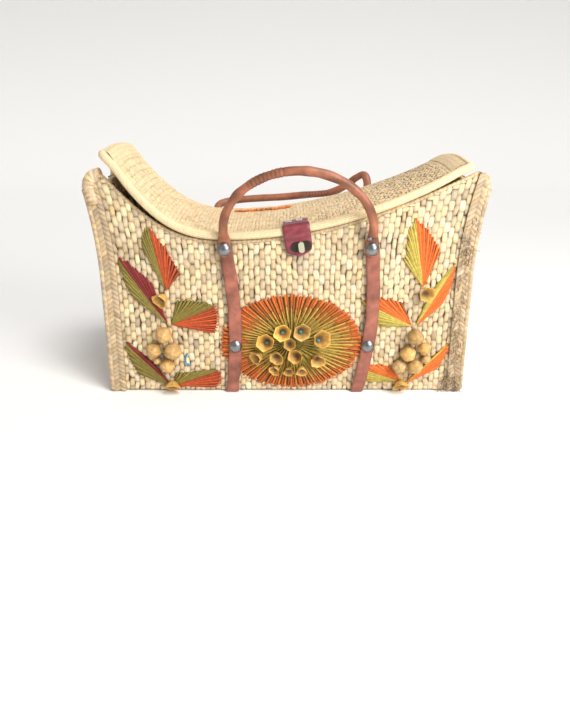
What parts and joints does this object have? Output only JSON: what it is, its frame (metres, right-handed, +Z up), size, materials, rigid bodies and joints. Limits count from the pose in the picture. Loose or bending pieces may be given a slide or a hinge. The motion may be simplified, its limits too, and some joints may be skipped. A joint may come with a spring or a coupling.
{
  "type": "straw tote bag",
  "caption": "Woven palm-straw tote with a hinged saddle lid, turn-lock tab, rolled leather handles, braided corners and raffia flowers.",
  "frame": {"origin": "centre of the base panel's underside, on the surface the bag stands on", "axes": "+X along the bag's length to the right as seen from the front, -Y out of the front, +Z up"},
  "size_m": [0.5132, 0.2751, 0.31],
  "materials": {
    "palm_straw": "plaited palm",
    "lid_straw": "fine plaited palm",
    "braid_straw": "braided straw",
    "tan_leather": "worn",
    "tab_leather": "worn",
    "rivet_metal": "dulled",
    "lock_metal": "darkened",
    "knob_metal": "worn",
    "olive_raffia": "stitched",
    "orange_raffia": "stitched",
    "seed_pod": "dry",
    "teal_bead": "dull",
    "blue_raffia": "loose"
  },
  "bodies": {
    "bag": {"front_panel": "palm_straw", "back_panel": "palm_straw", "base_panel": "palm_straw", "left_gusset": "palm_straw", "right_gusset": "palm_straw", "hinge_loops": "palm_straw", "front_left_binding": "braid_straw", "front_right_binding": "braid_straw", "back_left_binding": "braid_straw", "back_right_binding": "braid_straw", "front_left_strap": "tan_leather", "front_right_strap": "tan_leather", "back_left_strap": "tan_leather", "back_right_strap": "tan_leather", "front_handle_feet": "tan_leather", "back_handle_feet": "tan_leather", "front_rivets": "rivet_metal", "back_rivets": "rivet_metal", "small_rivet": "rivet_metal", "lock_keeper": "lock_metal", "left_crown_olive": "olive_raffia", "left_crown_orange": "orange_raffia", "left_wing_olive": "olive_raffia", "left_wing_orange": "orange_raffia", "left_fan_olive": "olive_raffia", "left_fan_orange": "orange_raffia", "left_low_wing_olive": "olive_raffia", "left_low_wing_orange": "orange_raffia", "left_low_fan_olive": "olive_raffia", "left_low_fan_orange": "orange_raffia", "right_crown_olive": "olive_raffia", "right_crown_orange": "orange_raffia", "right_wing_olive": "olive_raffia", "right_wing_orange": "orange_raffia", "right_fan_olive": "olive_raffia", "right_fan_orange": "orange_raffia", "right_low_wing_olive": "olive_raffia", "right_low_wing_orange": "orange_raffia", "right_low_fan_olive": "olive_raffia", "right_low_fan_orange": "orange_raffia", "sunburst_olive": "olive_raffia", "sunburst_orange": "orange_raffia", "sunburst_pods": "seed_pod", "crown_pods": "seed_pod", "end_pods": "seed_pod", "left_nuts": "seed_pod", "right_nuts": "seed_pod", "pod_beads": "teal_bead", "blue_raffia": "blue_raffia"},
    "lid": {"lid_panel": "lid_straw", "lid_binding": "braid_straw", "lid_darn": "orange_raffia", "hinge_cord": "braid_straw", "closure_tab": "tab_leather", "tab_staples": "rivet_metal", "lock_plate": "lock_metal"},
    "lock": {"lock_knob": "knob_metal"},
    "front_handle": {"front_handle": "tan_leather"},
    "back_handle": {"back_handle": "tan_leather"}
  },
  "joints": [
    {"name": "lid_hinge", "type": "hinge", "parent": "bag", "child": "lid", "pos_m": [-0.06, 0.08211, 0.2083], "axis": [-1, 0, 0], "range_deg": [0, 65]},
    {"name": "lock_turn", "type": "hinge", "parent": "lid", "child": "lock", "pos_m": [0.01787, -0.095, 0.20071], "axis": [0, -1, 0], "range_deg": [0, 90]},
    {"name": "front_handle_swing", "type": "hinge", "parent": "bag", "child": "front_handle", "pos_m": [0.014, -0.09591, 0.2188], "axis": [1, 0, 0], "range_deg": [-8, 110]},
    {"name": "back_handle_swing", "type": "hinge", "parent": "bag", "child": "back_handle", "pos_m": [0.008, 0.10008, 0.1858], "axis": [-1, 0, 0], "range_deg": [0, 75]}
  ]
}
